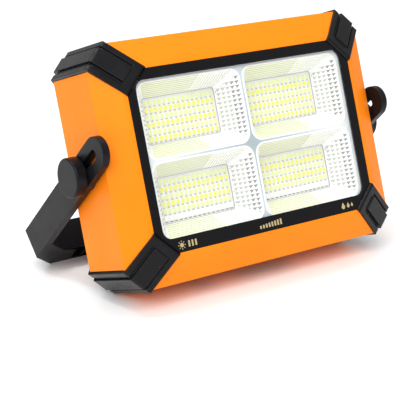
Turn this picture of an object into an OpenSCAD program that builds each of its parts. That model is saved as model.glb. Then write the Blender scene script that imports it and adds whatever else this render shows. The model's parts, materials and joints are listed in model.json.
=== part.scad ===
// Portable solar flood light: an orange housing leaning back on its folding handle.
// Everything is drawn in the housing's own frame and then stood on the ground by
// stand(): x across, y into the housing from the bezel's plane, z up its front.

/* [Housing] */
// Width across the side walls
body_w = 220; // [212:1:228]
// Height across the top and bottom walls
body_h = 158; // [154:1:164]
// Depth from the bezel's plane to the back plane
body_d = 65.4; // [64:0.1:68]
// Depth of the front chamfer
front_chamfer_d = 10.2; // [9:0.1:11]
// Depth of the rear chamfer
rear_chamfer_d = 10.4; // [9.5:0.1:11.5]
// Width of the front chamfer, seen from the front
front_chamfer_w = 19.4; // [18.5:0.1:20]
// Width of the rear chamfer, seen from the back
rear_chamfer_w = 16; // [15:0.1:17]
// Length that the corner cut takes off each side
corner_cut = 16; // [15:0.5:17]
// Thickness of the moulded walls
wall = 2.5; // [2.2:0.1:2.8]

/* [Window] */
// Width of the window in the bezel
window_w = 167; // [162:1:168]
// Height of the window in the bezel
window_h = 101.6; // [97:0.2:102]
// How far the window sits above the middle of the bezel
window_rise = 1.3; // [0.9:0.1:1.5]
// Corner radius of the window and of the reflector pockets
window_r = 6.5; // [4:0.5:8]
// Thickness of the bezel, and of the lens behind it
pane_t = 1.2; // [1:0.1:1.5]

/* [Lighting] */
// Width of the bars between the reflector pockets
pocket_gap = 3.6; // [3:0.2:5]
// Depth of the reflector pockets
pocket_d = 16; // [14:0.5:18]
// Width of a lighting board's visible face
board_w = 57.4; // [54:0.2:60]
// Height of a lighting board's visible face
board_h = 30.7; // [28:0.1:32]
// Number of chips in one row of a board
chip_cols = 15; // [8:1:16]
// Number of rows of chips on a board
chip_rows = 6; // [4:2:6]

/* [Corner guards] */
// How proud a guard's base band stands
guard_t = 2; // [1.4:0.1:2]
// How much prouder its middle block stands
block_t = 1.1; // [0.8:0.1:1.6]
// Width of the middle block
block_w = 11; // [9:0.5:13]

/* [Handle] */
// Width of the arms and of the crossbar
arm_w = 21.6; // [21:0.1:22.4]
// Outer width across the arms
handle_w = 234; // [234:0.1:237]
// Thickness of an arm
arm_t = 5.1; // [4.8:0.1:5.1]
// Thickness of the crossbar
bar_t = 19.4; // [16:0.2:20]
// From the pivot to the crossbar's outer face, handle pushed in
reach = 110; // [108:0.5:116]
// How far the handle slides out along its slots
slot_travel = 26; // [10:1:26]
// Angle of the arms below the housing's depth axis at rest
droop = 25.6; // [15:0.1:30]
// Diameter of the clamp knobs
knob_d = 26; // [22:0.2:26]
// Diameter of the clamp bolts
bolt_d = 4; // [4:0.5:6]

/* [Back] */
// Width of the solar panel
panel_w = 159; // [150:1:160]
// Height of the solar panel
panel_h = 98; // [90:1:100]
// Number of cells across the panel
cell_count = 10; // [6:1:14]

/* [Torch] */
// Outer diameter of the torch ring
torch_d = 40; // [36:1:40]
// How far the torch sits above the pivot
torch_z = 36.5; // [34:0.5:37]

/* [Controls] */
// Diameter of the power button
button_d = 11.2; // [9:0.2:12]
// Travel of the power button
button_travel = 1.2; // [0.6:0.1:1.4]
// Width of the rubber port cover
cover_w = 46; // [44:1:48]
// Depth of the rubber port cover
cover_d = 10; // [9.6:0.1:11]

/* [Hidden] */
$fn = 64;
root2 = sqrt(2);

// Half sizes of the three octagons: bezel plane, wall, back plane
wall_x = body_w / 2;
wall_z = body_h / 2;
bezel_x = wall_x - front_chamfer_w;
bezel_z = wall_z - front_chamfer_w;
back_x = wall_x - rear_chamfer_w;
back_z = wall_z - rear_chamfer_w;
rear_y = body_d - rear_chamfer_d;
lip_w = 4;
lip_y = 0.9;

// Distance of each octagon's corner cut from the axis, along the diagonal
diag_wall = (wall_x + wall_z - corner_cut) / root2;
diag_bezel = (bezel_x + bezel_z - corner_cut) / root2;
diag_back = (back_x + back_z - corner_cut) / root2;
diag_side = (wall_x - wall_z) / root2;
cut_half = corner_cut / root2;

// Depths of the layers behind the bezel
ledge_y = pane_t;
front_in_y = 4.8;
bezel_land = 0.3;
lens_back_y = 2 * pane_t;
tray_y = lens_back_y + 0.2;
tray_t = 1.5;
board_y = tray_y + pocket_d + 0.7;
board_t = 1.6;
sink_y = board_y + board_t;
sink_t = 3;
mouth_w = (window_w - pocket_gap) / 2 - 2.5;
mouth_h = (window_h - pocket_gap) / 2 - 0.8;
pocket_x = (mouth_w + pocket_gap) / 2;
pocket_z = (mouth_h + pocket_gap) / 2;
chip_w = 2.8;
chip_h = 3.2;
chip_t = 0.6;
post_x = bezel_x - 2;
post_z = 40;
back_in_y = body_d - 4.6;
panel_floor_y = body_d - 2.4;
cell_y0 = panel_floor_y + 1.2;
panel_border = 7;

// Pivot, handle and clamp
pivot_y = 33.4;
arm_out_x = handle_w / 2;
arm_in_x = arm_out_x - arm_t;
arm_end = slot_travel + 2;
slot_w = bolt_d + 0.4;
slot_face_w = slot_w + 2.6;
slot_face_d = 3;
outer_chamfer = 16.5;
inner_chamfer = 15;
washer_r = 8.6;
washer_t = 1.2;
washer_x = arm_out_x + 0.3;
knob_in_x = arm_out_x + 0.4;
knob_out_x = arm_out_x + 8.3;
bolt_r = bolt_d / 2;
running = 0.05;
insert_r = 4.5;
insert_in_x = wall_x - 14;
pad_r = 10.3;

// Guards: the band overhangs the facet's two edges a little
band_over = 0.2;
band_half = cut_half + band_over;
collar = 2;
front_collar = 0.8;
front_lip = 0.4;
block_start = 6.5;
boss_diag = (diag_wall + diag_back) / 2;
boss_x = (boss_diag + diag_side) / root2;
boss_z = (boss_diag - diag_side) / root2;
boss_r = 4.5;
boss_y0 = 8;
screw_r = 1.45;
screw_head_y = rear_y + rear_chamfer_d / 2 + 2.6;
groove_w = 2;
groove_d = 1.2;

// Power and ports
cell_r = 9.2;
cell_len = 65;
cell_y = 42;
cell_z = 10.5;
holder_y = sink_y + sink_t + 0.1;
holder_top_y = 44;
holder_x = cell_len + 4.5;
holder_z = cell_z + cell_r + 1.5;
pcb_y = 37.2;
pcb_w = 120;
pcb_low = -70;
pcb_high = -26;
port_x = 13;
port_y = 32.6;
usb_a_x = port_x + 9;
usb_c_x = port_x - 11;
cover_t = 2;
socket_z = -wall_z + cover_t + 0.4;
button_x = -38;
button_rest = 1.2;
button_flange_t = 1.5;
switch_tip = -wall_z + wall + 0.3 + button_flange_t + button_travel + 0.4;

// Torch
torch_y = 34.8;
torch_r = torch_d / 2;
torch_lens_r = torch_r - 3.2;
torch_cup_x = 94.4;

section_x = section(bezel_x, wall_x, back_x);
section_z = section(bezel_z, wall_z, back_z);
section_d = section(diag_bezel, diag_wall, diag_back);

// The lean puts the guards' rear edge and the crossbar's edge on the ground; the
// whole light then reaches from a guard's front edge to the crossbar
arm_dir = [cos(droop), -sin(droop)];
arm_up = [sin(droop), cos(droop)];
rear_n = unit([rear_chamfer_d, (wall_x - back_x + wall_z - back_z) / root2]);
guard_foot = [rear_y + guard_t * rear_n[1] / (1 + rear_n[0]),
              -wall_z - (guard_t + band_over) / root2];
bar_foot = [pivot_y, 0] + reach * arm_dir - arm_w / 2 * arm_up;
lean = atan2(bar_foot[1] - guard_foot[1], bar_foot[0] - guard_foot[0]);
bar_rear = [pivot_y, 0] + reach * arm_dir + arm_w / 2 * arm_up;
guard_front = grown(section_d, guard_t)[0];
front_foot = [guard_front[1], -(guard_front[0] - diag_side + band_half) / root2];
lift = -leaned(guard_foot)[1];
middle_y = (leaned(bar_rear)[0] + leaned(front_foot)[0]) / 2;

housing_orange = "#f5871c";
guard_black = "#26262a";
handle_grey = "#3c3c40";

function unit(v) = v / norm(v);
function leaned(p) = [p[0] * cos(lean) + p[1] * sin(lean),
                      -p[0] * sin(lean) + p[1] * cos(lean)];
// Normal on the outer side of the line from p to q, walking front to back
function outward(p, q) = unit([q[1] - p[1], p[0] - q[0]]);
// A corner between two facets, moved out by t along both
function moved(p, n1, n2, t) = p + t * (n1 + n2) / (1 + n1 * n2);

// Half section of the housing: [distance from the axis, depth], front to back
function section(front, mid, back) =
    [[front, 0], [mid, front_chamfer_d], [mid, rear_y], [back, body_d]];
function lipped(s) = [s[0], [s[0][0] + lip_w, lip_y], s[1], s[2], s[3]];
function grown(s, t) = let(
        n0 = [0, -1], n1 = outward(s[0], s[1]), n2 = [1, 0],
        n3 = outward(s[2], s[3]), n4 = [0, 1])
    [moved(s[0], n0, n1, t), moved(s[1], n1, n2, t),
     moved(s[2], n2, n3, t), moved(s[3], n3, n4, t)];
function mirrored(s) = concat(s, [for (i = [len(s) - 1:-1:0]) [-s[i][0], s[i][1]]]);

// Stands the housing's frame on the ground, centred on the whole light
module stand() {
    translate([0, -middle_y, lift]) rotate([-lean, 0, 0]) children();
}
// A [x, y] outline carried along z
module along_z(half) {
    translate([0, 0, -half]) linear_extrude(2 * half) children();
}
// An outline drawn as [distance, depth], carried across the distance direction;
// turn 0 carries it along x's normal, 90 along z's, and so on round the y axis
module prism(outline, turn, half) {
    rotate([0, -turn, 0]) along_z(half) polygon(mirrored(outline));
}
// An [x, z] outline carried from depth y0 to depth y1
module plate(y0, y1) {
    translate([0, y1, 0]) rotate([90, 0, 0]) linear_extrude(y1 - y0) children();
}
module rounded(w, h, r) {
    for (x = [-1, 1]) for (z = [-1, 1])
        translate([x * (w / 2 - r), z * (h / 2 - r)]) circle(r);
    square([w, h - 2 * r], center = true);
    square([w - 2 * r, h], center = true);
}
module octagon(x, z, cut) {
    polygon([[x, z - cut], [x - cut, z], [cut - x, z], [-x, z - cut],
             [-x, cut - z], [cut - x, -z], [x - cut, -z], [x, cut - z]]);
}
module rod_y(r, y0, y1) {
    translate([0, y1, 0]) rotate([90, 0, 0]) cylinder(r = r, h = y1 - y0);
}
module rod_x(r, x0, x1) {
    translate([x0, 0, 0]) rotate([0, 90, 0]) cylinder(r = r, h = x1 - x0);
}
module at(x, z) {
    translate([x, 0, z]) children();
}
module block(x, y, z) {
    translate([x[0], y[0], z[0]]) cube([x[1] - x[0], y[1] - y[0], z[1] - z[0]]);
}
module to_corner(x, z) {
    mirror([x < 0 ? 1 : 0, 0, 0]) mirror([0, 0, z < 0 ? 1 : 0]) children();
}
module each_corner() {
    for (x = [-1, 1]) for (z = [-1, 1]) to_corner(x, z) children();
}
module both_sides() {
    children();
    mirror([1, 0, 0]) children();
}
module at_pivot() {
    translate([0, pivot_y, 0]) children();
}

// The closed form of the housing, from its three half sections
module housing_form(sx, sz, sd) {
    intersection() {
        prism(sx, 0, body_h);
        prism(sz, 90, body_w);
        prism(sd, 45, body_w);
        prism(sd, 135, body_w);
    }
}
module outer_form() {
    housing_form(lipped(section_x), lipped(section_z), lipped(section_d));
}
module shell() {
    difference() {
        outer_form();
        intersection() {
            housing_form(grown(section_x, -wall), grown(section_z, -wall),
                         grown(section_d, -wall));
            block([-body_w, body_w], [front_in_y, back_in_y], [-body_h, body_h]);
        }
    }
}

module main_housing() {
    color(housing_orange) difference() {
        union() {
            intersection() {
                shell();
                block([-body_w, body_w], [-1, rear_y], [-body_h, body_h]);
            }
            each_corner() at(boss_x, boss_z) rod_y(boss_r, boss_y0, rear_y);
            sink_posts() rod_y(3.4, front_in_y - 0.5, sink_y);
            both_sides() at_pivot() rod_x(7.5, insert_in_x - 1, wall_x - 1);
            port_pad();
        }
        plate(-1, ledge_y) octagon(bezel_x - bezel_land, bezel_z - bezel_land, corner_cut);
        plate(0, front_in_y + 1) window(2.3);
        each_corner() at(boss_x, boss_z) rod_y(screw_r + running, rear_y - 10, body_d);
        sink_posts() rod_y(screw_r + running, sink_y - 10, sink_y + 1);
        both_sides() at_pivot() rod_x(insert_r, insert_in_x, wall_x + 1);
        at_torch() rod_x(torch_r - 1.5, wall_x - wall - 1, wall_x + 1);
        translate([0, 0, -wall_z - 1]) cover_recess();
        socket_holes();
        at_button() translate([0, 0, -1]) cylinder(r = button_d / 2 + 0.1, h = wall + 2);
    }
}
module window(margin) {
    translate([0, window_rise])
        rounded(window_w + 2 * margin, window_h + 2 * margin, window_r + margin);
}
module sink_posts() {
    translate([0, 0, window_rise]) each_corner() at(post_x, post_z) children();
}
module at_torch() {
    translate([0, torch_y, torch_z]) children();
}
module at_button() {
    translate([button_x, port_y, -wall_z]) children();
}
module port_pad() {
    block([port_x - cover_w / 2 - 2.5, port_x + cover_w / 2 + 2.5],
          [port_y - cover_d / 2 - 2.5, port_y + cover_d / 2 + 2.5],
          [-wall_z + 1, -wall_z + 5]);
}
module cover_recess() {
    block([port_x - cover_w / 2 - 0.3, port_x + cover_w / 2 + 0.3],
          [port_y - cover_d / 2 - 0.3, port_y + cover_d / 2 + 0.4], [0, cover_t + 1]);
}
module socket_holes() {
    block([usb_a_x - 7.4, usb_a_x + 7.4], [pcb_y - 7.2, pcb_y + 0.2],
          [-wall_z, -wall_z + 6]);
    block([usb_c_x - 4.7, usb_c_x + 4.7], [pcb_y - 3.4, pcb_y + 0.2],
          [-wall_z, -wall_z + 6]);
}

module back_cover() {
    color(housing_orange) difference() {
        union() {
            intersection() {
                shell();
                block([-body_w, body_w], [rear_y, body_d + 1], [-body_h, body_h]);
            }
            board_posts() rod_y(3.2, pcb_y + board_t, back_in_y + 1);
        }
        plate(panel_floor_y, body_d + 1) square([panel_w + 0.4, panel_h + 0.4], center = true);
        each_corner() at(boss_x, boss_z) rod_y(screw_r + 0.25, rear_y - 1, body_d + 1);
        board_posts() rod_y(1.25, pcb_y, pcb_y + 10);
    }
}
module board_posts() {
    for (x = [-1, 1]) for (z = [pcb_low + 4, pcb_high - 4])
        at(x * (pcb_w / 2 - 5), z) children();
}

module front_bezel() {
    color(guard_black) difference() {
        plate(0, pane_t)
            octagon(bezel_x - bezel_land - 0.15, bezel_z - bezel_land - 0.15, corner_cut);
        plate(-1, pane_t + 1) window(0);
    }
}
module front_lens() {
    color("#dfeaf2", 0.3) plate(pane_t, lens_back_y) window(2);
}
module lens_gasket() {
    color("#303034") difference() {
        plate(lens_back_y, tray_y + tray_t) window(2.2);
        plate(0, board_y) window(1.1);
    }
}

module each_pocket() {
    each_corner() at(pocket_x, pocket_z) children();
}
module frustum(margin, y0, y1) {
    slope_x = (mouth_w - board_w) / 2 / pocket_d;
    slope_z = (mouth_h - board_h) / 2 / pocket_d;
    front = tray_y - y0;
    back = tray_y - y1;
    intersection() {
        prism([[mouth_w / 2 + margin + slope_x * front, y0],
               [mouth_w / 2 + margin + slope_x * back, y1]], 0, mouth_w);
        prism([[mouth_h / 2 + margin + slope_z * front, y0],
               [mouth_h / 2 + margin + slope_z * back, y1]], 90, mouth_w);
        plate(y0, y1) rounded(mouth_w + 2 * margin, mouth_h + 2 * margin, window_r);
    }
}
module reflector_tray() {
    color("#eef0f2") difference() {
        intersection() {
            union() {
                plate(tray_y, tray_y + tray_t) window(0.9);
                each_pocket() frustum(1.2, tray_y + 0.5, tray_y + pocket_d);
            }
            plate(tray_y - 1, tray_y + pocket_d + 1) window(0.9);
        }
        each_pocket() frustum(0, tray_y - 0.5, tray_y + pocket_d + 0.5);
    }
}

module led_board(x, z) {
    color("white") at(x * pocket_x, z * pocket_z)
        plate(board_y, board_y + board_t) rounded(board_w + 4, board_h + 4, 3);
}
// Some rows of chips on the two boards above or below the middle
module chips(z, rows) {
    for (x = [-1, 1]) for (row = rows) for (col = [0:chip_cols - 1])
        translate([x * pocket_x + (col - (chip_cols - 1) / 2) * board_w / (chip_cols + 0.5),
                   board_y - chip_t,
                   z * pocket_z
                       + ((chip_rows - 1) / 2 - row) * board_h / (chip_rows + 0.5)])
            block([-chip_w / 2, chip_w / 2], [0, chip_t], [-chip_h / 2, chip_h / 2]);
}
module cool_leds() {
    color("#eef0a0") for (z = [-1, 1]) chips(z, [0:2:chip_rows - 1]);
}
module warm_leds() {
    color("#e8e020") {
        chips(1, [1:2:chip_rows - 1]);
        chips(-1, [1:2:chip_rows - 2]);
    }
}
module clear_leds() {
    color("#f4f6f4") chips(-1, [chip_rows - 1]);
}

module heat_sink_plate() {
    color("silver") difference() {
        translate([0, 0, window_rise]) plate(sink_y, sink_y + sink_t)
            rounded(2 * (post_x + 3.8), 2 * (wall_z - 27), 4);
        sink_posts() rod_y(screw_r + 0.25, sink_y - 1, sink_y + sink_t + 1);
    }
}
module pan_screw(head_r, head_h, shank_r, length) {
    rod_y(shank_r, -length, 0);
    difference() {
        rod_y(head_r, 0, head_h);
        for (turn = [0, 90]) rotate([0, turn, 0])
            block([-head_r * 0.6, head_r * 0.6], [head_h - 0.8, head_h + 1], [-0.35, 0.35]);
    }
}
module heat_sink_screws() {
    color("silver") sink_posts() translate([0, sink_y + sink_t, 0])
        pan_screw(2.8, 1.8, screw_r, 11);
}

module each_cell() {
    for (x = [-1, 1]) for (z = [-1, 1])
        translate([x * (cell_len / 2 + 1.7), cell_y, z * cell_z]) children();
}
module battery_holder() {
    color("#1d1d20") difference() {
        block([-holder_x, holder_x], [holder_y, holder_top_y], [-holder_z, holder_z]);
        each_cell() rod_x(cell_r + 0.15, -cell_len / 2 - 0.5, cell_len / 2 + 0.5);
    }
}
module battery_cells() {
    color("#3a78b8") each_cell() union() {
        rod_x(cell_r, -cell_len / 2, cell_len / 2 - 1);
        rod_x(2.8, cell_len / 2 - 1.5, cell_len / 2);
    }
}
module battery_contacts() {
    color("silver") each_cell() for (x = [-1, 1])
        translate([x * (cell_len / 2 + 0.25), 0, 0]) rod_x(4.5, -0.2, 0.2);
}

module control_board() {
    color("#1f6b3a") difference() {
        block([-pcb_w / 2, pcb_w / 2], [pcb_y, pcb_y + board_t], [pcb_low, pcb_high]);
        board_posts() rod_y(1.6, pcb_y - 1, pcb_y + board_t + 1);
    }
}
module board_components() {
    color("#2a2a2d") translate([0, pcb_y, 0]) {
        for (x = [-40, -25]) at(x, -40) rod_y(4.5, -7, 0);
        for (x = [-6, 8, 24]) at(x, -44) block([-4, 4], [-1.8, 0], [-3, 3]);
        for (x = [38, 47]) at(x, -52) rod_y(3.2, -8, 0);
        at(42, -36) block([-6, 6], [-4, 0], [-4, 4]);
    }
}
module board_screws() {
    color("silver") board_posts() translate([0, pcb_y, 0]) mirror([0, 1, 0])
        pan_screw(2.6, 1.6, 1.2, board_t + 7);
}
module usb_a_socket() {
    color("silver") translate([usb_a_x, 0, socket_z]) {
        difference() {
            block([-7.2, 7.2], [pcb_y - 7, pcb_y], [0, 14]);
            block([-6.3, 6.3], [pcb_y - 6.1, pcb_y - 0.9], [-1, 12.5]);
        }
        block([-5.5, 5.5], [pcb_y - 2.8, pcb_y - 0.9], [1, 13]);
    }
}
module usb_c_socket() {
    color("silver") translate([usb_c_x, pcb_y - 1.6, socket_z]) {
        difference() {
            block([-4.5, 4.5], [-1.6, 1.6], [0, 7.3]);
            translate([0, 0, -1]) linear_extrude(7.5) rounded(8.3, 2.5, 1.2);
        }
        block([-3.3, 3.3], [-0.35, 0.35], [1, 7]);
    }
}
module tact_switch() {
    color("#2a2a2d") translate([button_x, pcb_y, pcb_low]) {
        block([-3, 3], [-4.2, 0], [-1, 4]);
        translate([0, -2.2, switch_tip - pcb_low]) cylinder(r = 1.3, h = 3);
    }
}
// The flap's hinge line is its outer front edge
module port_cover() {
    color("#1c1c1f") translate([port_x, port_y - cover_d / 2, -wall_z]) {
        translate([-cover_w / 2, 0, 0]) rotate([90, 0, 90]) linear_extrude(cover_w)
            polygon([[0, 0], [cover_d, 0], [cover_d - 0.5, cover_t - 0.1],
                     [0.3, cover_t - 0.1]]);
        block([-6, 6], [cover_d - 2.2, cover_d - 0.4], [-0.8, 0.5]);
    }
}
module power_button() {
    color("#2a2a2d") at_button() {
        translate([0, 0, -button_rest]) cylinder(r = button_d / 2, h = button_rest + wall + 1);
        translate([0, 0, wall + 0.3]) cylinder(r = button_d / 2 + 1.5, h = button_flange_t);
    }
}

module solar_laminate() {
    color("#101114") plate(panel_floor_y, panel_floor_y + 1.2)
        square([panel_w, panel_h], center = true);
}
module solar_cells() {
    pitch = (panel_w - 2 * panel_border) / cell_count;
    color("#16233f") for (i = [0:cell_count - 1])
        translate([(i - (cell_count - 1) / 2) * pitch, 0, 0])
            plate(cell_y0, cell_y0 + 0.3)
            square([pitch - 0.8, panel_h - 2 * panel_border], center = true);
}
module solar_busbar() {
    color("white") plate(cell_y0 + 0.3, cell_y0 + 0.45)
        square([panel_w - 2 * panel_border, 2], center = true);
}
module panel_cover() {
    color("#9fb4cc", 0.3) plate(cell_y0 + 0.5, body_d - 0.1)
        square([panel_w, panel_h], center = true);
}
module panel_clips() {
    color("silver") both_sides() translate([(back_x + panel_w / 2) / 2, 0, 0])
        plate(body_d, body_d + 0.9) rounded(6.5, 16, 1.2);
}

module ring_x(outline) {
    rotate([0, 90, 0]) rotate_extrude() polygon(outline);
}
module torch_ring() {
    color(guard_black) at_torch() ring_x([
        [torch_r - 4, wall_x + 1.2], [torch_r - 0.4, wall_x + 1.2], [torch_r, wall_x + 0.8],
        [torch_r, wall_x], [torch_r - 1.6, wall_x], [torch_r - 1.6, wall_x - 7],
        [torch_r - 3.1, wall_x - 7], [torch_r - 3.1, wall_x + 0.4], [torch_r - 4, wall_x + 0.4]]);
}
module torch_lens() {
    color("#e6eef5", 0.35) at_torch() rod_x(torch_lens_r, wall_x - 1.8, wall_x + 0.4);
}
module torch_reflector() {
    cup_len = wall_x - 1.9 - torch_cup_x - 0.6;
    cup = [for (i = [0:8]) [4 + (torch_lens_r - 4.6) * sqrt(i / 8), cup_len * i / 8]];
    color("#e9ebee") at_torch() translate([torch_cup_x + 0.6, 0, 0])
        ring_x(concat(cup, [for (i = [8:-1:0]) cup[i] + [0.6, 0]]));
}
module torch_board() {
    color("white") at_torch() rod_x(9, torch_cup_x - 1.2, torch_cup_x + 0.4);
}
module torch_led() {
    color("#f3e27a") translate([torch_cup_x + 0.4, torch_y, torch_z])
        block([0, 0.9], [-1.75, 1.75], [-1.75, 1.75]);
}

// Lays an outline of [diagonal distance, depth] along the 45 degree corner
module corner_band(half) {
    rotate([0, -45, 0]) translate([0, 0, -diag_side]) along_z(half) children();
}
function band_outline(t) = let(g = grown(section_d, t))
    concat([[section_d[0][0] - front_collar, -front_lip]], g,
           [[section_d[3][0] - collar, body_d + t]]);
function block_outline(t0, t1, start) = let(
        s = section_d, n1 = outward(s[0], s[1]), n3 = outward(s[2], s[3]),
        a = s[0] + start * unit(s[1] - s[0]), b = s[3] + start * unit(s[2] - s[3]),
        low = grown(s, t0), high = grown(s, t1))
    [a + t0 * n1, a + t1 * n1, high[1], high[2], b + t1 * n3, b + t0 * n3, low[2], low[1]];
module corner_guard() {
    color(guard_black) difference() {
        union() {
            corner_band(band_half) polygon(band_outline(guard_t));
            corner_band(block_w / 2)
                polygon(block_outline(guard_t - 1, guard_t + block_t, block_start));
        }
        outer_form();
        for (side = [-1, 1]) rotate([0, -45, 0])
            translate([0, 0, side * (block_w / 2 + groove_w / 2) - diag_side])
            along_z(groove_w / 2)
            polygon(block_outline(guard_t - groove_d, guard_t + 1, block_start));
        at(boss_x, boss_z) rod_y(screw_r + 0.25, rear_y, body_d + 5);
        at(boss_x, boss_z) rotate([0, -45, 0])
            block([-4.2, 4.2], [screw_head_y, body_d + 5], [-4.2, 4.2]);
    }
}
module guard_screws() {
    color("#4a4a4e") each_corner() at(boss_x, boss_z) translate([0, screw_head_y, 0])
        pan_screw(2.9, 1.6, screw_r, screw_head_y - rear_y + 8);
}

module pivot_pads() {
    color("#1c1c1f") both_sides() at_pivot() difference() {
        rod_x(pad_r, wall_x, arm_in_x - 0.4);
        rod_x(bolt_r + 0.4, wall_x - 1, arm_out_x);
    }
}
module threaded_inserts() {
    color("#b08d4a") both_sides() at_pivot() difference() {
        rod_x(insert_r, insert_in_x, wall_x);
        rod_x(bolt_r + running, insert_in_x - 1, wall_x + 1);
    }
}

// The handle's own frame: y out along the arms from the pivot, z across them
module handle() {
    color(handle_grey) at_pivot() rotate([-droop, 0, 0]) difference() {
        intersection() {
            translate([0, 0, -arm_w / 2]) linear_extrude(arm_w) handle_outline();
            side_cut(handle_w) {
                translate([-arm_end, 0]) circle(arm_w / 2);
                translate([-arm_end, -arm_w / 2]) square([reach + arm_end, arm_w]);
            }
        }
        both_sides() {
            translate([arm_in_x - 1, 0, 0]) arm_slot(slot_w, arm_t + 2);
            translate([arm_out_x - slot_face_d, 0, 0]) arm_slot(slot_face_w, arm_t);
        }
        grip_pockets();
    }
}
module handle_outline() {
    inner_end = reach - bar_t;
    difference() {
        polygon([[-arm_out_x, -arm_end - arm_w], [-arm_out_x, reach - outer_chamfer],
                 [outer_chamfer - arm_out_x, reach], [arm_out_x - outer_chamfer, reach],
                 [arm_out_x, reach - outer_chamfer], [arm_out_x, -arm_end - arm_w]]);
        polygon([[-arm_in_x, -arm_end - arm_w - 1], [-arm_in_x, inner_end - inner_chamfer],
                 [inner_chamfer - arm_in_x, inner_end], [arm_in_x - inner_chamfer, inner_end],
                 [arm_in_x, inner_end - inner_chamfer], [arm_in_x, -arm_end - arm_w - 1]]);
    }
}
module side_cut(width) {
    translate([-width, 0, 0]) rotate([90, 0, 90]) linear_extrude(2 * width) children();
}
module arm_slot(width, depth) {
    rotate([90, 0, 90]) linear_extrude(depth) {
        circle(width / 2);
        translate([-slot_travel, 0]) circle(width / 2);
        translate([-slot_travel, -width / 2]) square([slot_travel, width]);
    }
}
module grip_pockets() {
    pitch = 9;
    count = floor((arm_in_x - inner_chamfer) / pitch) - 1;
    for (i = [-count:count])
        block([i * pitch - 3.7, i * pitch + 3.7], [reach - bar_t + 3, reach - 3],
              [-arm_w / 2 - 1, -arm_w / 2 + 3]);
}

module clamp_washers() {
    color("#8a8a8e") both_sides() at_pivot() difference() {
        rod_x(washer_r, washer_x, washer_x + washer_t);
        rod_x(bolt_r + running, washer_x - 1, washer_x + washer_t + 1);
    }
}
module knob() {
    color(handle_grey) at_pivot() difference() {
        ring_x([[0, knob_in_x], [knob_d / 2 - 0.6, knob_in_x], [knob_d / 2, knob_in_x + 0.6],
                [knob_d / 2, knob_out_x - 0.8], [knob_d / 2 - 0.8, knob_out_x],
                [0, knob_out_x]]);
        rod_x(washer_r + 0.6, knob_in_x - 1, washer_x + washer_t + 0.3);
        rod_x(bolt_r, knob_in_x, knob_out_x - 1.6);
    }
}
module clamp_bolt() {
    color("silver") at_pivot() rod_x(bolt_r, insert_in_x + 1, knob_out_x - 1.6);
}

stand() main_housing();
stand() back_cover();
stand() front_bezel();
stand() front_lens();
stand() lens_gasket();
stand() reflector_tray();
stand() led_board(-1, 1);  // led_board_top_left
stand() led_board(1, 1);  // led_board_top_right
stand() led_board(-1, -1);  // led_board_bottom_left
stand() led_board(1, -1);  // led_board_bottom_right
stand() cool_leds();
stand() warm_leds();
stand() clear_leds();
stand() heat_sink_plate();
stand() heat_sink_screws();
stand() battery_holder();
stand() battery_cells();
stand() battery_contacts();
stand() control_board();
stand() board_components();
stand() board_screws();
stand() usb_a_socket();
stand() usb_c_socket();
stand() tact_switch();
stand() port_cover();
stand() power_button();
stand() solar_laminate();
stand() solar_cells();
stand() solar_busbar();
stand() panel_cover();
stand() panel_clips();
stand() torch_ring();
stand() torch_lens();
stand() torch_reflector();
stand() torch_board();
stand() torch_led();
stand() to_corner(-1, 1) corner_guard();  // corner_guard_top_left
stand() to_corner(1, 1) corner_guard();  // corner_guard_top_right
stand() to_corner(-1, -1) corner_guard();  // corner_guard_bottom_left
stand() to_corner(1, -1) corner_guard();  // corner_guard_bottom_right
stand() guard_screws();
stand() pivot_pads();
stand() threaded_inserts();
stand() handle();
stand() clamp_washers();
stand() mirror([1, 0, 0]) knob();  // knob_left
stand() knob();  // knob_right
stand() mirror([1, 0, 0]) clamp_bolt();  // clamp_bolt_left
stand() clamp_bolt();  // clamp_bolt_right
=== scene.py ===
"""Looks of the solar flood light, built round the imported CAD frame."""
import json
import math

import bmesh
import bpy
from mathutils import Matrix, Vector

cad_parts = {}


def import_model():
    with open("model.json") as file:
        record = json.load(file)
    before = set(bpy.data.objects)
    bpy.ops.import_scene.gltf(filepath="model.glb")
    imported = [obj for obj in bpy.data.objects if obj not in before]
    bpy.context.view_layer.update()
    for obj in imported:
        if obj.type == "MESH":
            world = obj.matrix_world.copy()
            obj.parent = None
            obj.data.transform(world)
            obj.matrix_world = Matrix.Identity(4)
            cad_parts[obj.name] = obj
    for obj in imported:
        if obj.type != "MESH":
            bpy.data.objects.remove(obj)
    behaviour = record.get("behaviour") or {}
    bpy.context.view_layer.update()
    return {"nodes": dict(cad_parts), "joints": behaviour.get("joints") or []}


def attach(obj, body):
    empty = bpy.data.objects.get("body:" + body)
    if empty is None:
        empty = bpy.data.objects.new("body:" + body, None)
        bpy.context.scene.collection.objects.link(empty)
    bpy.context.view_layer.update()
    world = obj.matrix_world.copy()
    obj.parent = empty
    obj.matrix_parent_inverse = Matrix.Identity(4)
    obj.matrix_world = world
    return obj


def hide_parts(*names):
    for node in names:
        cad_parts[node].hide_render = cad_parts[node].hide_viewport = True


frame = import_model()
NODES = frame["nodes"]
MM = 0.001

# ---------------------------------------------------------------- the housing's own frame
JOINTS = {joint["name"]: joint for joint in frame["joints"]}
ACROSS = Vector((1, 0, 0))
UP = Vector(JOINTS["power_press"]["axis"]).normalized()
DEPTH = UP.cross(ACROSS)
PIVOT = Vector(JOINTS["handle_tilt"]["pos_m"])


def span(node, axis, origin=Vector((0, 0, 0))):
    """Where a CAD node starts and ends along an axis, measured from origin."""
    reach = [(v.co - origin).dot(axis) for v in NODES[node].data.vertices]
    return min(reach), max(reach)


# x across, y into the housing from the bezel's face, z up its front from the pivot's height
ORIGIN = PIVOT + DEPTH * span("front_bezel", DEPTH, PIVOT)[0]
HOUSING = Matrix((ACROSS, DEPTH, UP)).transposed().to_4x4()
HOUSING.translation = ORIGIN


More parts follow.
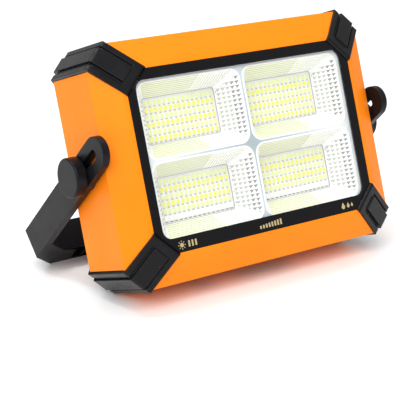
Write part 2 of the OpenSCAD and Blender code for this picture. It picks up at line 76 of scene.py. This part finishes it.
def extent(node):
    """[(low, high) along x, y and z] of a node in the housing's frame."""
    return [span(node, axis, ORIGIN) for axis in (ACROSS, DEPTH, UP)]


# ---------------------------------------------------------------- material helpers
def new_material(name):
    material = bpy.data.materials.new(name)
    material.use_nodes = True
    nodes = material.node_tree.nodes
    return material, nodes, material.node_tree.links, nodes["Principled BSDF"]


def noise(nodes, links, scale, detail=4.0, roughness=0.55):
    coords = nodes.new("ShaderNodeTexCoord")
    texture = nodes.new("ShaderNodeTexNoise")
    texture.inputs["Scale"].default_value = scale
    texture.inputs["Detail"].default_value = detail
    texture.inputs["Roughness"].default_value = roughness
    links.new(coords.outputs["Object"], texture.inputs["Vector"])
    return texture.outputs["Fac"]


def ramp(nodes, links, source, stops):
    """A colour ramp over source; stops are (place, colour)."""
    node = nodes.new("ShaderNodeValToRGB")
    while len(node.color_ramp.elements) < len(stops):
        node.color_ramp.elements.new(0.5)
    for element, (place, colour) in zip(node.color_ramp.elements, stops):
        element.position = place
        element.color = (*colour, 1.0)
    links.new(source, node.inputs["Fac"])
    return node.outputs["Color"]


def bump(nodes, links, height, strength, distance, shader):
    node = nodes.new("ShaderNodeBump")
    node.inputs["Strength"].default_value = strength
    node.inputs["Distance"].default_value = distance
    links.new(height, node.inputs["Height"])
    links.new(node.outputs["Normal"], shader.inputs["Normal"])


def shade(colour, factor):
    return tuple(min(1.0, channel * factor) for channel in colour)


def uneven(nodes, links, shader, fac, slick, dull, places=(0.3, 0.7)):
    """Roughness that wanders from slick to dull with fac."""
    stops = [(places[0], (slick,) * 3), (places[1], (dull,) * 3)]
    links.new(ramp(nodes, links, fac, stops), shader.inputs["Roughness"])


def offset_from(nodes, links, point):
    """The shaded place, measured from a point of the frame."""
    coords = nodes.new("ShaderNodeTexCoord")
    offset = nodes.new("ShaderNodeVectorMath")
    offset.operation = "SUBTRACT"
    offset.inputs[1].default_value = point
    links.new(coords.outputs["Object"], offset.inputs[0])
    return offset.outputs["Vector"]


def moulded(name, colour, roughness=0.4, grain=0.25, grain_scale=2600.0, coat=0.0, specular=0.5):
    """Moulded plastic: a fine spark-eroded grain, faint mottling and uneven gloss."""
    material, nodes, links, shader = new_material(name)
    mottle = noise(nodes, links, 22.0)
    tones = [(0.25, shade(colour, 0.94)), (0.75, shade(colour, 1.05))]
    links.new(ramp(nodes, links, mottle, tones), shader.inputs["Base Color"])
    uneven(nodes, links, shader, noise(nodes, links, 60.0, detail=6.0),
           max(roughness - 0.06, 0.02), roughness + 0.07)
    shader.inputs["Coat Weight"].default_value = coat
    shader.inputs["Coat Roughness"].default_value = 0.12
    shader.inputs["Specular IOR Level"].default_value = specular
    bump(nodes, links, noise(nodes, links, grain_scale, detail=2.0), grain, 0.00006, shader)
    return material


def along(nodes, links, start, end):
    """0 at start and 1 at end, both points of the frame, for a ramp to colour by place."""
    run = Vector(end) - Vector(start)
    share = nodes.new("ShaderNodeVectorMath")
    share.operation = "DOT_PRODUCT"
    share.inputs[1].default_value = run / run.length_squared
    links.new(offset_from(nodes, links, start), share.inputs[0])
    return share.outputs["Value"]


def away_from(nodes, links, centre, reach):
    """0 at centre and 1 at reach from it."""
    scaled = nodes.new("ShaderNodeVectorMath")
    scaled.operation = "SCALE"
    scaled.inputs["Scale"].default_value = 1 / reach
    links.new(offset_from(nodes, links, centre), scaled.inputs[0])
    length = nodes.new("ShaderNodeVectorMath")
    length.operation = "LENGTH"
    links.new(scaled.outputs["Vector"], length.inputs[0])
    return length.outputs["Value"]


def metal(name, colour, roughness=0.25, brushed=True):
    """Plated or brushed metal, with fine streaks where it is brushed."""
    material, nodes, links, shader = new_material(name)
    shader.inputs["Metallic"].default_value = 1.0
    tone = noise(nodes, links, 90.0)
    links.new(ramp(nodes, links, tone, [(0.3, shade(colour, 0.9)), (0.7, shade(colour, 1.05))]),
              shader.inputs["Base Color"])
    spread = 0.1 if brushed else 0.04
    uneven(nodes, links, shader, noise(nodes, links, 400.0, detail=5.0),
           roughness, roughness + spread)
    bump(nodes, links, noise(nodes, links, 1800.0), 0.15, 0.00003, shader)
    return material


def clear(name, colour, alpha, roughness=0.03, specular=0.6):
    """A thin clear pane that lets light straight through and keeps its gloss."""
    material, nodes, links, shader = new_material(name)
    shader.inputs["Alpha"].default_value = alpha
    shader.inputs["Specular IOR Level"].default_value = specular
    film = noise(nodes, links, 14.0)
    links.new(ramp(nodes, links, film, [(0.3, shade(colour, 0.97)), (0.7, colour)]),
              shader.inputs["Base Color"])
    uneven(nodes, links, shader, film, roughness, roughness + 0.03, places=(0.3, 0.8))
    return material


def solar_silicon():
    """Navy cells with the fine silver fingers that run to the busbar."""
    material, nodes, links, shader = new_material("solar_navy")
    coords = nodes.new("ShaderNodeTexCoord")
    fingers = nodes.new("ShaderNodeTexWave")
    fingers.bands_direction = "X"
    fingers.inputs["Scale"].default_value = 157.0
    links.new(coords.outputs["Object"], fingers.inputs["Vector"])
    links.new(ramp(nodes, links, fingers.outputs["Fac"],
                   [(0.8, (0.006, 0.012, 0.05)), (0.98, (0.04, 0.055, 0.11))]),
              shader.inputs["Base Color"])
    uneven(nodes, links, shader, noise(nodes, links, 30.0), 0.2, 0.3)
    shader.inputs["Specular IOR Level"].default_value = 0.2
    return material


ORANGE = moulded("orange_shell", (0.92, 0.22, 0.005), roughness=0.38, grain=0.1, specular=0.12)
BEZEL = moulded("bezel_black", (0.004, 0.004, 0.005), roughness=0.24, grain=0.05, specular=0.18)
GUARD = moulded("guard_black", (0.003, 0.003, 0.004), roughness=0.26, grain=0.1, specular=0.2)
HANDLE = moulded("handle_grey", (0.006, 0.006, 0.0075), roughness=0.36, grain=0.2, specular=0.15)
KNOB = moulded("knob_grey", (0.006, 0.006, 0.0075), roughness=0.34, grain=0.2, specular=0.16)
RUBBER = moulded("rubber", (0.02, 0.02, 0.022), roughness=0.68, grain=0.4, grain_scale=1500.0)
BUTTON = moulded("button_black", (0.03, 0.03, 0.033), roughness=0.4, grain=0.2)
TRAY = moulded("reflector_white", (0.9, 0.91, 0.9), roughness=0.16, grain=0.02, coat=0.2)
# painted shade: the darker and lighter greys for the facets' triangles that turn from the light
FACET_SHADE = moulded("reflector_facet_painted_shade", (0.2, 0.205, 0.2), roughness=0.2, grain=0.02, coat=0.2)
FACET_HALF_SHADE = moulded("reflector_facet_painted_half_shade", (0.42, 0.44, 0.42), roughness=0.2, grain=0.02)
BOARD = moulded("board_white", (0.8, 0.82, 0.78), roughness=0.45, grain=0.05)
COOL = moulded("cool_phosphor", (0.74, 0.79, 0.29), roughness=0.4, grain=0.1, specular=0.2)
WARM = moulded("warm_phosphor", (0.77, 0.77, 0.045), roughness=0.4, grain=0.1, specular=0.2)
PACKAGE = moulded("chip_package", (0.88, 0.88, 0.85), roughness=0.3, grain=0.03)
GOLD = moulded("gold_print", (0.42, 0.34, 0.17), roughness=0.35, grain=0.1)
INNER = moulded("inner_black", (0.02, 0.02, 0.022), roughness=0.5)
CELL = moulded("cell_blue", (0.03, 0.12, 0.4), roughness=0.3, coat=0.4)
PCB = moulded("board_green", (0.01, 0.12, 0.035), roughness=0.35)
MARK = moulded("board_marks", (0.42, 0.4, 0.45), roughness=0.5)
# painted shade on the ridges' risers, tinged with the painted yellow reflection
RISER_SHADE = moulded("reflector_riser_painted_shade", (0.54, 0.58, 0.4), roughness=0.2, grain=0.02)
# painted shadow in the gap between a pocket's walls and its board
GAP_SHADOW = moulded("board_gap_painted_shadow", (0.33, 0.32, 0.38), roughness=0.5, specular=0.1)
INK = moulded("ink_grey", (0.06, 0.06, 0.07), roughness=0.5, specular=0.1)
LAMINATE = moulded("laminate_black", (0.004, 0.004, 0.005), roughness=0.25, specular=0.15)
CELLS = solar_silicon()
SILVER = metal("busbar_silver", (0.82, 0.83, 0.85), roughness=0.35)
STEEL = metal("zinc_steel", (0.62, 0.62, 0.64))
DARK_STEEL = metal("blackened_steel", (0.1, 0.1, 0.11), roughness=0.35)
NICKEL = metal("nickel", (0.8, 0.8, 0.82), roughness=0.15, brushed=False)
ALUMINIUM = metal("aluminium", (0.78, 0.79, 0.81), roughness=0.3)
BRASS = metal("brass", (0.72, 0.5, 0.2), roughness=0.25)
MIRROR = metal("torch_mirror", (0.88, 0.89, 0.9), roughness=0.06, brushed=False)
PANE = clear("window_pane", (0.95, 0.97, 1.0), 0.07)
PANEL_FILM = clear("panel_film", (0.3, 0.4, 0.6), 0.03, roughness=0.06, specular=0.15)
TORCH_GLASS = clear("torch_glass", (0.95, 0.97, 1.0), 0.16)


# ---------------------------------------------------------------- mesh helpers
def add_piece(name, bm, material, body="housing", local=True):
    """Turns a bmesh into a piece that rides on a body; local meshes are in the housing's frame."""
    mesh = bpy.data.meshes.new(name)
    bm.to_mesh(mesh)
    bm.free()
    if local:
        mesh.transform(HOUSING)
    mesh.materials.append(material)
    piece = bpy.data.objects.new(name, mesh)
    bpy.context.scene.collection.objects.link(piece)
    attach(piece, body)
    return piece


def rounded_outline(centre, half_w, half_h, radius, steps=8):
    """[(x, z)] round a rounded rectangle, counter-clockwise from its lower right corner."""
    points = []
    for quarter, (sx, sz) in enumerate(((1, -1), (1, 1), (-1, 1), (-1, -1))):
        for step in range(steps + 1):
            turn = math.radians(90 * (quarter - 1) + 90 * step / steps)
            points.append((centre[0] + sx * (half_w - radius) + radius * math.cos(turn),
                           centre[1] + sz * (half_h - radius) + radius * math.sin(turn)))
    return points


def ring(bm, outline, y):
    return [bm.verts.new((x, y, z)) for x, z in outline]


def join_rings(bm, rings, index=0, closed=True):
    """Quads between rings of equal length; the first ring is the front one."""
    for front, back in zip(rings, rings[1:]):
        count = len(front)
        for i in range(count if closed else count - 1):
            j = (i + 1) % count
            bm.faces.new((front[i], front[j], back[j], back[i])).material_index = index


def block(bm, centre, half, taper=1.0):
    """A box about centre whose front is taper times its back."""
    x, y, z = centre
    corners = ((1, -1), (1, 1), (-1, 1), (-1, -1))
    front = [bm.verts.new((x + sx * half[0] * taper, y - half[1], z + sz * half[2] * taper))
             for sx, sz in corners]
    back = [bm.verts.new((x + sx * half[0], y + half[1], z + sz * half[2])) for sx, sz in corners]
    bm.faces.new(front)
    bm.faces.new(back[::-1])
    join_rings(bm, [front, back])


def slab(bm, outline, y0, y1):
    """An outline of (x, z) points given a thickness from y0 to y1."""
    front, back = ring(bm, outline, y0), ring(bm, outline, y1)
    bm.faces.new(front)
    bm.faces.new(back[::-1])
    join_rings(bm, [front, back])


WELD = 1e-6                              # vertices closer than this are one
FLAT = math.radians(1.0)                 # faces that turn less than this are one
SHARP_FROM, BLUNT_TO = 25, 75            # degrees between the faces at a rounded edge
SHORT_EDGE = 1.2 * MM


def cleaned(node):
    """A node's mesh with its flat areas joined into single faces."""
    bm = bmesh.new()
    bm.from_mesh(NODES[node].data)
    bmesh.ops.remove_doubles(bm, verts=bm.verts, dist=WELD)
    bmesh.ops.dissolve_limit(bm, angle_limit=FLAT, verts=bm.verts, edges=bm.edges)
    return bm


def refine(node, material, width, segments=3, body="housing", fold=1.0):
    """A copy of a CAD node with rounded edges, which stands for it.

    Long edges where two faces meet at a blunt angle are rounded fold times as much.
    """
    bm = cleaned(node)
    weights = bm.edges.layers.float.new("bevel_weight_edge")
    for edge in bm.edges:
        angle = math.degrees(edge.calc_face_angle_signed(0.0))
        if abs(angle) > SHARP_FROM:
            blunt = SHARP_FROM < angle < BLUNT_TO and edge.calc_length() > SHORT_EDGE
            edge[weights] = 1.0 if blunt else 1 / fold
    piece = add_piece(node + "_finished", bm, material, body, local=False)
    rounding = piece.modifiers.new("rounding", "BEVEL")
    rounding.width = width * fold
    rounding.segments = segments
    rounding.limit_method = "WEIGHT"
    rounding.use_clamp_overlap = fold == 1.0
    rounding.miter_outer = "MITER_ARC"
    piece.data.shade_smooth()
    normals = piece.modifiers.new("normals", "WEIGHTED_NORMAL")
    normals.keep_sharp = True
    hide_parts(node)


def finish_node(node, material):
    """A CAD node whose shape is right keeps its mesh and takes a better material."""
    NODES[node].data.materials.clear()
    NODES[node].data.materials.append(material)


# ---------------------------------------------------------------- shell, guards and handle
refine("main_housing", ORANGE, 0.5 * MM)
refine("back_cover", ORANGE, 0.4 * MM)
refine("front_bezel", BEZEL, 0.3 * MM)
for corner in ("top_left", "top_right", "bottom_left", "bottom_right"):
    refine("corner_guard_" + corner, GUARD, 0.45 * MM, segments=4, fold=4.0)
    finish_node("led_board_" + corner, BOARD)
refine("handle", HANDLE, 0.9 * MM, body="handle")
refine("knob_left", KNOB, 0.3 * MM, body="left_clamp")
refine("knob_right", KNOB, 0.3 * MM, body="right_clamp")
refine("port_cover", RUBBER, 0.25 * MM, body="port_cover")
refine("power_button", BUTTON, 0.5 * MM, body="power_button")
refine("torch_ring", GUARD, 0.3 * MM)

for names, material in (
    (("front_lens",), PANE),
    (("panel_cover",), PANEL_FILM),
    (("torch_lens",), TORCH_GLASS),
    (("lens_gasket", "pivot_pads"), RUBBER),
    (("cool_leds", "warm_leds", "clear_leds"), PACKAGE),
    (("heat_sink_plate",), ALUMINIUM),
    (("heat_sink_screws", "board_screws", "battery_contacts", "clamp_washers",
      "clamp_bolt_left", "clamp_bolt_right", "panel_clips"), STEEL),
    (("guard_screws",), DARK_STEEL),
    (("battery_holder", "board_components", "tact_switch"), INNER),
    (("battery_cells",), CELL),
    (("control_board",), PCB),
    (("usb_a_socket", "usb_c_socket"), NICKEL),
    (("solar_laminate",), LAMINATE),
    (("solar_cells",), CELLS),
    (("solar_busbar",), SILVER),
    (("torch_reflector",), MIRROR),
    (("torch_board",), BOARD),
    (("torch_led",), COOL),
    (("threaded_inserts",), BRASS),
):
    for node in names:
        finish_node(node, material)


# ---------------------------------------------------------------- reflector
LAMP_X, LAMP_Y, LAMP_Z = extent("reflector_tray")
MOUTH_HALF = (39.45 * MM, 24.1 * MM)     # half width and half height of a pocket's mouth
BOARD_HALF = (28.7 * MM, 15.35 * MM)     # and of the board it frames
POCKET = (41.35 * MM, 25.9 * MM)         # centre of a pocket from the tray's middle
MOUTH_R, WALL_R, BOARD_R = 6.5 * MM, 3.0 * MM, 2.0 * MM
PLATE_Y = LAMP_Y[0] + 0.45 * MM          # the plate between the pockets lies below their rims
WALL_Y = LAMP_Y[0] + 0.5 * MM            # and the walls start behind the rims
RIM = ((1.2, 0.45), (0.9, 0.1), (0.45, 0.0), (0.1, 0.12), (0.0, 0.3))  # (out, deep) in mm
WINDOW_R = 7.4 * MM                      # corner of the window round all four pockets
FACETS_DOWN, FACETS_ACROSS = 3.0 * MM, 5
FACETS_END = 0.93                        # share of a side wall's slope that they cover
RIDGES = 8
RIDGE_H, RIDGE_CREST = 0.3 * MM, 0.25    # height, and where its crest is across it
FACETS_ALONG = 2.3 * MM                  # facets that follow on from the ridges
FACETS_FROM = 0.62                       # share of a ridged wall's length where they start
TIP_H, TIP_MARGIN = 0.5 * MM, 0.3 * MM   # height of a facet's point, and its least margin
# the columns nearest the rim are painted with the darker shade
DARK_COLUMNS = 2
TRAY_T = 0.6 * MM
WHITE, DARK, MID, REFLECTED_YELLOW, BLUISH, RISER = range(6)  # the tray's materials in their order: white, the facets' darker and lighter painted shade, a painted yellow reflection, the plate's painted reflection and the risers' painted shade


def pocket_wall(bm, centre, turn):
    """One sloping wall; turn 0 is the right wall, 1 the top, 2 the left, 3 the bottom.

    Facets cover the right and left walls. Ridges run along the other two, then facets.
    """
    side = turn % 2
    depths = (WALL_Y, LAMP_Y[1])
    reach = (MOUTH_HALF[side], BOARD_HALF[side])
    limit = (MOUTH_HALF[1 - side] - WALL_R, BOARD_HALF[1 - side] - BOARD_R)
    angle = math.radians(90 * turn)
    out = (math.cos(angle), math.sin(angle))
    aside = (-out[1], out[0])
    slope = Vector((-(depths[1] - depths[0]) * out[0], -(reach[0] - reach[1]),
                    -(depths[1] - depths[0]) * out[1])).normalized()

    def between(pair, s):
        return pair[0] + (pair[1] - pair[0]) * s

    def place(a, s, lift=0.0):
        d = between(reach, s)
        return Vector((centre[0] + out[0] * d + aside[0] * a, between(depths, s),
                       centre[1] + out[1] * d + aside[1] * a)) + slope * lift

    def clipped(corners):
        for sign in (1, -1):
            kept = []
            for (a0, s0, h0), (a1, s1, h1) in zip(corners, corners[1:] + corners[:1]):
                in0 = between(limit, s0) - sign * a0
                in1 = between(limit, s1) - sign * a1
                if in0 >= 0:
                    kept.append((a0, s0, h0))
                if (in0 >= 0) != (in1 >= 0):
                    t = in0 / (in0 - in1)
                    kept.append((a0 + (a1 - a0) * t, s0 + (s1 - s0) * t, h0 + (h1 - h0) * t))
            corners = kept
        return corners

    def polygon(corners, index):
        corners = clipped(corners)
        verts = [bm.verts.new(place(*corner)) for corner in corners]
        if len(verts) > 2:
            bm.faces.new(verts).material_index = index

    def pyramid(a0, a1, s0, s1, dark_end, index):
        """A facet raised to a point; its triangle at dark_end turns from the light and is painted
        grey as shade.
        """
        base = clipped([(a0, s0, 0.0), (a1, s0, 0.0), (a1, s1, 0.0), (a0, s1, 0.0)])
        if len(base) < 3:
            return
        toward = 0.72 if dark_end == a0 else 0.28
        tip_a = a0 + (a1 - a0) * toward
        tip_s = s0 + (s1 - s0) * 0.6
        room = between(limit, tip_s) - TIP_MARGIN
        tip = (max(-room, min(room, tip_a)), tip_s, TIP_H)
        for start, end in zip(base, base[1:] + base[:1]):
            at_end = abs(start[0] - dark_end) + abs(end[0] - dark_end) < 1e-7
            polygon([start, end, tip], index if at_end else REFLECTED_YELLOW if side else WHITE)

    def ridge(a0, a1, s0, s1):
        crest = s0 + (s1 - s0) * RIDGE_CREST
        foot = [(a0, s0, 0.0), (a1, s0, 0.0)]
        top = [(a0, crest, RIDGE_H), (a1, crest, RIDGE_H)]
        # the riser is painted darker as the ridge's shade; the slope behind it takes the painted
        # yellow reflection
        polygon(foot + top[::-1], RISER)
        polygon(top + [(a1, s1, 0.0), (a0, s1, 0.0)], REFLECTED_YELLOW)

    across = RIDGES if side else FACETS_ACROSS
    last = 1.0 if side else FACETS_END
    pitch = FACETS_ALONG if side else FACETS_DOWN
    widest = limit[0]
    for k in range(across):
        s0, s1 = last * k / across, last * (k + 1) / across
        if side:
            # x rises against a on the top wall and along it on the bottom one
            rise = -1 if turn == 1 else 1
            split = rise * (FACETS_FROM * 2 - 1) * widest
            ridge(min(-rise * widest, split), max(-rise * widest, split), s0, s1)
            count = math.ceil((widest - rise * split) / pitch)
            for i in range(count):
                a0 = split + rise * i * pitch
                a1 = split + rise * (i + 1) * pitch
                pyramid(min(a0, a1), max(a0, a1), s0, s1, a1, MID)
        else:
            count = math.ceil(2 * widest / pitch)
            for i in range(count):
                a0 = (i - count / 2) * pitch
                top = a0 + pitch if turn == 0 else a0
                pyramid(a0, a0 + pitch, s0, s1, top, DARK if k < DARK_COLUMNS else MID)
    if last < 1.0:
        polygon([(-widest, last, 0.0), (widest, last, 0.0),
                 (widest, 1.0, 0.0), (-widest, 1.0, 0.0)], WHITE)


def reflector():
    bm = bmesh.new()
    window = rounded_outline((0.0, (LAMP_Z[0] + LAMP_Z[1]) / 2), LAMP_X[1],
                             (LAMP_Z[1] - LAMP_Z[0]) / 2, WINDOW_R)
    edge = ring(bm, window, PLATE_Y)
    loops = [edge]
    for sx in (-1, 1):
        for sz in (-1, 1):
            centre = (sx * POCKET[0], sz * POCKET[1])
            rims = [ring(bm, rounded_outline(centre, MOUTH_HALF[0] + grow * MM,
                                             MOUTH_HALF[1] + grow * MM, MOUTH_R + grow * MM),
                         LAMP_Y[0] + deep * MM) for grow, deep in RIM]
            join_rings(bm, rims)
            loops.append(rims[0])
            mouth = rounded_outline(centre, *MOUTH_HALF, WALL_R)
            foot = rounded_outline(centre, *BOARD_HALF, BOARD_R)
            join_rings(bm, [rims[-1], ring(bm, mouth, WALL_Y)])
            for corner in range(4):
                arc = slice(corner * 9, corner * 9 + 9)
                join_rings(bm, [ring(bm, mouth[arc], WALL_Y), ring(bm, foot[arc], LAMP_Y[1])],
                           closed=False)
            for turn in range(4):
                pocket_wall(bm, centre, turn)
    sides = []
    for loop in loops:
        sides += [bm.edges.get((a, b)) or bm.edges.new((a, b))
                  for a, b in zip(loop, loop[1:] + loop[:1])]
    plate = bmesh.ops.triangle_fill(bm, edges=sides, use_beauty=True)
    for item in plate["geom"]:
        if isinstance(item, bmesh.types.BMFace):
            item.material_index = BLUISH
    bmesh.ops.remove_doubles(bm, verts=bm.verts, dist=WELD)
    bm.normal_update()
    for face in bm.faces:
        if face.normal.y > 0:
            face.normal_flip()
    piece = add_piece("reflector_finished", bm, TRAY)
    for material in (FACET_SHADE, FACET_HALF_SHADE, YELLOW_REFLECTION, PLATE, RISER_SHADE):
        piece.data.materials.append(material)
    wall = piece.modifiers.new("wall", "SOLIDIFY")
    wall.thickness = TRAY_T
    wall.offset = -1.0
    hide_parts("reflector_tray")


def painted_yellow_reflection():
    """The lamp's own yellow, as a painted reflection on the ridged walls, fades to white to their
    right.
    """
    material, nodes, links, shader = new_material("reflector_painted_yellow_reflection")
    start = HOUSING @ Vector((LAMP_X[0], 0, 0))
    end = HOUSING @ Vector((0, 0, 0))
    place = nodes.new("ShaderNodeMath")
    place.operation = "FRACT"
    links.new(along(nodes, links, start, end), place.inputs[0])
    fade = [(0.15, (0.98, 1.0, 0.66)), (0.75, (0.95, 0.96, 0.9))]
    links.new(ramp(nodes, links, place.outputs[0], fade), shader.inputs["Base Color"])
    uneven(nodes, links, shader, noise(nodes, links, 60.0), 0.14, 0.2)
    return material


def plate_material():
    """The plate between the pockets is painted with a blue-grey reflection, deepest where its bars
    cross.
    """
    material, nodes, links, shader = new_material("reflector_plate")
    crossing = HOUSING @ Vector((0, PLATE_Y, 0))
    fade = [(0.0, (0.28, 0.36, 0.37)), (0.2, (0.34, 0.42, 0.48)),
            (0.45, (0.42, 0.51, 0.57)), (0.7, (0.66, 0.7, 0.7))]
    distance = away_from(nodes, links, crossing, 90 * MM)
    links.new(ramp(nodes, links, distance, fade), shader.inputs["Base Color"])
    uneven(nodes, links, shader, noise(nodes, links, 60.0), 0.2, 0.28)
    return material


YELLOW_REFLECTION = painted_yellow_reflection()
PLATE = plate_material()
reflector()


# ---------------------------------------------------------------- light emitting boards
def chip_faces(node):
    """Centre and half size in x and z of every chip's front, in the housing's frame."""
    bm = cleaned(node)
    bm.transform(HOUSING.inverted())
    bm.normal_update()
    found = []
    for face in bm.faces:
        if face.normal.y < -0.9:
            xs, zs = [v.co.x for v in face.verts], [v.co.z for v in face.verts]
            found.append(((min(xs) + max(xs)) / 2, face.verts[0].co.y, (min(zs) + max(zs)) / 2,
                          (max(xs) - min(xs)) / 2, (max(zs) - min(zs)) / 2))
    bm.free()
    return found


BOARD_FACE = extent("led_board_top_left")[1][0]
chips = {node: chip_faces(node) for node in ("cool_leds", "warm_leds", "clear_leds")}
PHOSPHOR_LIFT, PHOSPHOR_T, CHIP_FRAME = 0.05 * MM, 0.06 * MM, 0.12 * MM
for node, material, slot in (("cool_leds", COOL, "cool_phosphor"),
                             ("warm_leds", WARM, "warm_phosphor")):
    windows = bmesh.new()
    for x, y, z, half_w, half_h in chips[node]:
        block(windows, (x, y - PHOSPHOR_LIFT, z),
              (half_w - CHIP_FRAME, PHOSPHOR_T, half_h - CHIP_FRAME), 0.94)
    add_piece(node + "_phosphor", windows, material)

PRINT_LIFT, PRINT_T = 0.08 * MM, 0.09 * MM
marks = bmesh.new()
for x, _, z, _, half_h in chips["cool_leds"] + chips["warm_leds"]:
    block(marks, (x - 0.25 * MM, BOARD_FACE - PRINT_LIFT, z - half_h - 0.78 * MM),
          (0.8 * MM, PRINT_T, 0.42 * MM))
add_piece("board_marks", marks, MARK)

dashes = bmesh.new()
for x, _, z, _, half_h in chips["clear_leds"]:
    block(dashes, (x, BOARD_FACE - PRINT_LIFT, z - half_h - 0.75 * MM),
          (1.15 * MM, PRINT_T, 0.22 * MM))
add_piece("board_dashes", dashes, INK)

LINE, GAP = 0.3 * MM, 0.02 * MM          # width of the painted shadow round a board, where the walls meet it, and its lift
DOT_OUT, DOT_HALF, DOT_R = 0.75 * MM, 0.42 * MM, 0.41 * MM
DOT_DEPTHS = (LAMP_Y[1] - 1.25 * MM, LAMP_Y[1] - 0.9 * MM)
# a thin ring of painted shadow round each board
gap_shadows = bmesh.new()
dots = bmesh.new()
for sx in (-1, 1):
    for sz in (-1, 1):
        centre = (sx * POCKET[0], sz * POCKET[1])
        outer = rounded_outline(centre, *BOARD_HALF, BOARD_R)
        inner = rounded_outline(centre, BOARD_HALF[0] - LINE, BOARD_HALF[1] - LINE, BOARD_R - LINE)
        y0, y1 = LAMP_Y[1] - GAP, BOARD_FACE - GAP
        front = [ring(gap_shadows, outer, y0), ring(gap_shadows, inner, y0)]
        join_rings(gap_shadows, [front[0], front[1], ring(gap_shadows, inner, y1)])
        for row in range(4):
            place = (centre[0] + BOARD_HALF[0] + DOT_OUT, centre[1] + (11.6 - 7.6 * row) * MM)
            slab(dots, rounded_outline(place, DOT_HALF, DOT_HALF, DOT_R, 3), *DOT_DEPTHS)
add_piece("board_gap_shadows", gap_shadows, GAP_SHADOW)
add_piece("board_dots", dots, INK)


# ---------------------------------------------------------------- pictograms on the bezel
SUN_X, DROP_X = -71.5, 63.0              # mm from the middle
PRINT_Z = -54.7 * MM


def pictograms():
    """A sun, a brightness scale and drops, where the real light has lettering."""
    bm = bmesh.new()

    def shape(points):
        slab(bm, [(x * MM, z * MM + PRINT_Z) for x, z in points], -0.03 * MM, 0.02 * MM)

    sides = 20
    turns = [2 * math.pi * i / sides for i in range(sides)]
    shape([(SUN_X + 1.4 * math.cos(turn), 1.4 * math.sin(turn)) for turn in turns])
    for ray in range(8):
        a = math.pi * ray / 4
        c, s = math.cos(a), math.sin(a)
        shape([(SUN_X + r * c - w * s, r * s + w * c)
               for r, w in ((1.9, -0.25), (2.9, -0.25), (2.9, 0.25), (1.9, 0.25))])
    for step in range(3):
        x = SUN_X + 5.0 + 2.6 * step
        shape([(x, -2.0), (x + 1.3, -2.0), (x + 1.3, 2.0), (x, 2.0)])
    for bar in range(8):
        x = 2.4 * bar - 9.2
        shape([(x, -1.9), (x + 1.4, -1.9), (x + 1.4, 0.1 + 0.27 * bar), (x, 0.1 + 0.27 * bar)])
    for x, size in ((DROP_X, 1.0), (DROP_X + 4.4, 0.8), (DROP_X + 7.8, 0.6)):
        shape([(x + 1.5 * size * math.cos(math.radians(a)),
                size * (1.5 * math.sin(math.radians(a)) - 0.5)) for a in range(150, 391, 15)]
              + [(x, 2.6 * size)])
    add_piece("bezel_pictograms", bm, GOLD)


pictograms()


# ---------------------------------------------------------------- studio and camera
def floor():
    material, nodes, links, shader = new_material("studio_floor")
    tone = noise(nodes, links, 3.0)
    links.new(ramp(nodes, links, tone, [(0.3, (0.93, 0.93, 0.93)), (0.7, (0.95, 0.95, 0.95))]),
              shader.inputs["Base Color"])
    shader.inputs["Roughness"].default_value = 0.35
    bm = bmesh.new()
    bmesh.ops.create_grid(bm, x_segments=8, y_segments=8, size=6.0)
    mesh = bpy.data.meshes.new("floor")
    bm.to_mesh(mesh)
    bm.free()
    mesh.materials.append(material)
    piece = bpy.data.objects.new("floor", mesh)
    bpy.context.scene.collection.objects.link(piece)


def softbox(name, place, aim, size, power):
    lamp = bpy.data.lights.new(name, "AREA")
    lamp.shape = "RECTANGLE"
    lamp.size, lamp.size_y = size
    lamp.energy = power
    box = bpy.data.objects.new(name, lamp)
    box.location = place
    box.rotation_euler = (Vector(aim) - Vector(place)).to_track_quat("-Z", "Y").to_euler()
    bpy.context.scene.collection.objects.link(box)


def sun(name, source, strength, softness):
    lamp = bpy.data.lights.new(name, "SUN")
    lamp.energy = strength
    lamp.angle = math.radians(softness)
    light = bpy.data.objects.new(name, lamp)
    light.rotation_euler = Vector(source).to_track_quat("Z", "Y").to_euler()
    bpy.context.scene.collection.objects.link(light)


def camera(azimuth, elevation, roll, distance, aim, lens):
    """Azimuth turns the camera to its left round the light, elevation lifts it, in degrees."""
    a, e = math.radians(azimuth), math.radians(elevation)
    back = Vector((-math.sin(a) * math.cos(e), -math.cos(a) * math.cos(e), math.sin(e)))
    data = bpy.data.cameras.new("camera")
    data.lens = lens
    data.sensor_width = 36.0
    data.clip_end = 50.0
    eye = bpy.data.objects.new("camera", data)
    eye.location = aim + back * distance
    facing = (-back).to_track_quat("-Z", "Y").to_matrix()
    eye.rotation_euler = (facing @ Matrix.Rotation(math.radians(roll), 3, "Z")).to_euler()
    bpy.context.scene.collection.objects.link(eye)
    bpy.context.scene.camera = eye


def world(strength):
    sky = bpy.data.worlds.new("studio")
    sky.use_nodes = True
    background = sky.node_tree.nodes["Background"]
    background.inputs["Color"].default_value = (1.0, 1.0, 1.0, 1.0)
    background.inputs["Strength"].default_value = strength
    bpy.context.scene.world = sky


floor()
world(0.62)
sun("key", (-0.75, -0.8, 1.1), 2.6, 50.0)
softbox("top", (0.2, 0.3, 1.6), (0, 0, 0.05), (1.4, 1.0), 7.0)
softbox("glint", (-0.62, 0.36, 1.35), (0, 0, 0.08), (0.2, 0.2), 4.0)
camera(azimuth=35.28, elevation=17.59, roll=-0.39, distance=0.97576,
       aim=Vector((-0.0001, 0.01475, 0.03781)), lens=124.2)
bpy.context.scene.view_settings.view_transform = "Standard"
